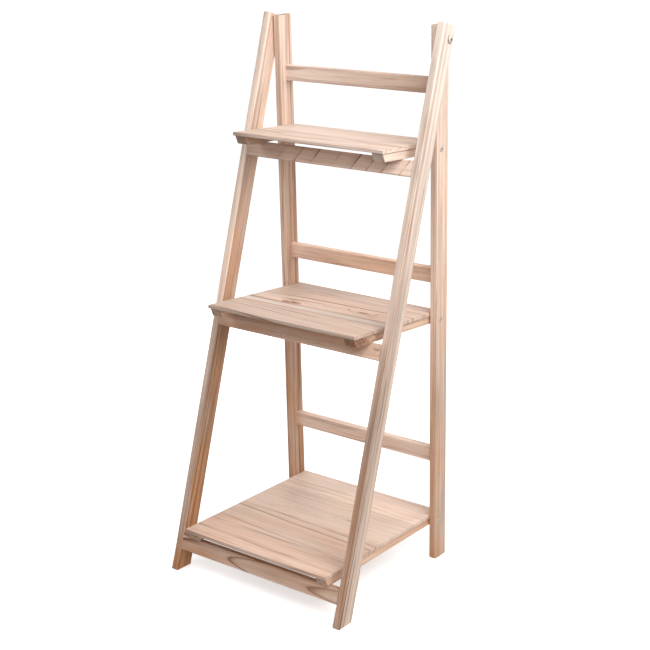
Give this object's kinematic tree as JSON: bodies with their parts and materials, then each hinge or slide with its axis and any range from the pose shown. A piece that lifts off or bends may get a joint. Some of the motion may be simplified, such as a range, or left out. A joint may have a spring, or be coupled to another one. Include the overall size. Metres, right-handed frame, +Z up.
{
  "type": "folding ladder plant stand",
  "caption": "Wooden ladder plant stand: a leaning front frame, a back frame and plank shelves hinged at the back that rest on front rails; it folds flat.",
  "frame": {"origin": "centre of the open stand's footprint, on the floor", "axes": "+Z up, -Y towards the front where the deep bottom shelf and the front rails are, +X to the right as seen from the front"},
  "size_m": [0.3646, 0.3514, 0.94],
  "materials": {
    "leg_pine": "oiled softwood, grain along the leg",
    "rail_pine": "oiled softwood, brown grain along the rail",
    "plank_pine": "pale oiled softwood planks, grain across the stand",
    "batten_pine": "pale oiled softwood",
    "dowel_beech": "plain beech dowel",
    "steel": "zinc-plated steel",
    "brass": "turned brass"
  },
  "bodies": {
    "rear_frame": {"rear_leg_left": "leg_pine", "rear_leg_right": "leg_pine", "back_slat_top": "rail_pine", "back_slat_middle": "rail_pine", "back_slat_bottom": "rail_pine", "slat_dowels": "dowel_beech", "hinge_bolts": "steel", "hinge_washers": "steel", "hinge_inserts": "brass"},
    "front_frame": {"front_leg_left": "leg_pine", "front_leg_right": "leg_pine", "front_rail_top": "rail_pine", "front_rail_middle": "rail_pine", "front_rail_bottom": "rail_pine", "rail_dowels": "dowel_beech"},
    "top_shelf": {"top_plank_front": "plank_pine", "top_plank_back": "plank_pine", "top_batten_left": "batten_pine", "top_batten_right": "batten_pine", "top_pivot_bolts": "steel", "top_pivot_inserts": "brass", "top_pivot_spacers": "steel", "top_batten_screws": "steel"},
    "middle_shelf": {"middle_plank_front": "plank_pine", "middle_plank_centre": "plank_pine", "middle_plank_back": "plank_pine", "middle_batten_left": "batten_pine", "middle_batten_right": "batten_pine", "middle_pivot_bolts": "steel", "middle_pivot_inserts": "brass", "middle_pivot_spacers": "steel", "middle_batten_screws": "steel"},
    "bottom_shelf": {"bottom_plank_front": "plank_pine", "bottom_plank_second": "plank_pine", "bottom_plank_third": "plank_pine", "bottom_plank_back": "plank_pine", "bottom_batten_left": "batten_pine", "bottom_batten_right": "batten_pine", "bottom_pivot_bolts": "steel", "bottom_pivot_inserts": "brass", "bottom_pivot_spacers": "steel", "bottom_batten_screws": "steel"}
  },
  "joints": [
    {"name": "front_frame_fold", "type": "hinge", "parent": "rear_frame", "child": "front_frame", "pos_m": [0, 0.08789, 0.91227], "axis": [1, 0, 0], "range_deg": [0, 18.7]},
    {"name": "top_shelf_lift", "type": "hinge", "parent": "rear_frame", "child": "top_shelf", "pos_m": [0, 0.10299, 0.7379], "axis": [-1, 0, 0], "range_deg": [0, 78.6]},
    {"name": "middle_shelf_lift", "type": "hinge", "parent": "rear_frame", "child": "middle_shelf", "pos_m": [0, 0.12325, 0.4482], "axis": [-1, 0, 0], "range_deg": [0, 74.3]},
    {"name": "bottom_shelf_lift", "type": "hinge", "parent": "rear_frame", "child": "bottom_shelf", "pos_m": [0, 0.14961, 0.0711], "axis": [-1, 0, 0], "range_deg": [0, 80.7]}
  ]
}
